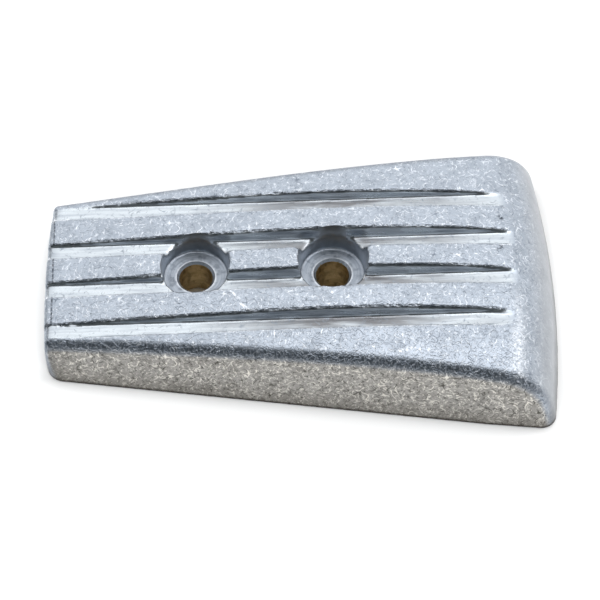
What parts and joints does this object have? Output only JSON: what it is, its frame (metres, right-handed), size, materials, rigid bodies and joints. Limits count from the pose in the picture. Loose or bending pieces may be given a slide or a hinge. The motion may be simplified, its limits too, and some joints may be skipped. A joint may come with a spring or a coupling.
{
  "type": "sacrificial anode",
  "caption": "Tapered cast zinc anode with a crowned, grooved face, rounded edges and counterbored screw holes, bolted flat to a hull or drive so that it corrodes first.",
  "frame": {"origin": "middle of the length and width on the flat mounting face", "axes": "+X from the narrow end to the wide end, +Y across, +Z out of the mounting face through the crowned top"},
  "size_m": [0.1278, 0.0762, 0.0201],
  "materials": {
    "cast_zinc": "cast zinc, tumbled to a dull pale grey"
  },
  "bodies": {
    "root": {"anode_body": "cast_zinc"}
  },
  "joints": []
}
